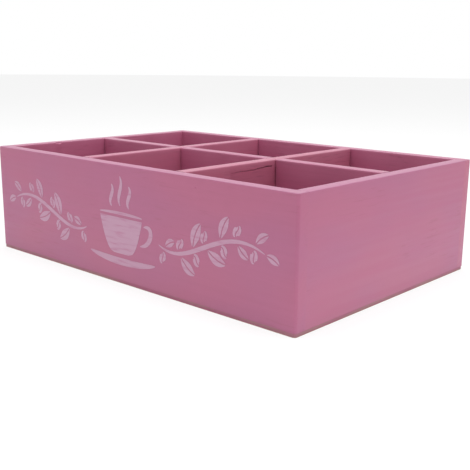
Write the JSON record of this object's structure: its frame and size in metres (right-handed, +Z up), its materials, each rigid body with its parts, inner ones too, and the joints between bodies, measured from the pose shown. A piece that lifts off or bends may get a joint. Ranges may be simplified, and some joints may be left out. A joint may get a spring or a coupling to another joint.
{
  "type": "coffee station organizer",
  "caption": "Open rectangular wooden box with crossed half-lapped dividers that make equal compartments for cups, sachets, lids and stirrers.",
  "frame": {"origin": "middle of the footprint, on the surface that the box stands on", "axes": "+X to the right along the length, +Y to the back, +Z up; the front panel faces -Y"},
  "size_m": [0.3, 0.2, 0.0815],
  "materials": {
    "painted_wood": "matt pink wash over fine straight grain, darker in the grain lines",
    "plywood": "thin plywood with pink wash on its faces and brownish raw edges",
    "steel": "plain galvanised wire"
  },
  "bodies": {
    "root": {"front_panel": "painted_wood", "back_panel": "painted_wood", "left_side": "painted_wood", "right_side": "painted_wood", "bottom_panel": "plywood", "long_divider": "painted_wood", "cross_divider_left": "painted_wood", "cross_divider_right": "painted_wood", "corner_brads_front_left": "steel", "corner_brads_front_right": "steel", "corner_brads_back_left": "steel", "corner_brads_back_right": "steel", "divider_brads_front": "steel", "divider_brads_back": "steel", "divider_brads_left": "steel", "divider_brads_right": "steel", "bottom_brads_front": "steel", "bottom_brads_back": "steel", "bottom_brads_left": "steel", "bottom_brads_right": "steel"}
  },
  "joints": []
}
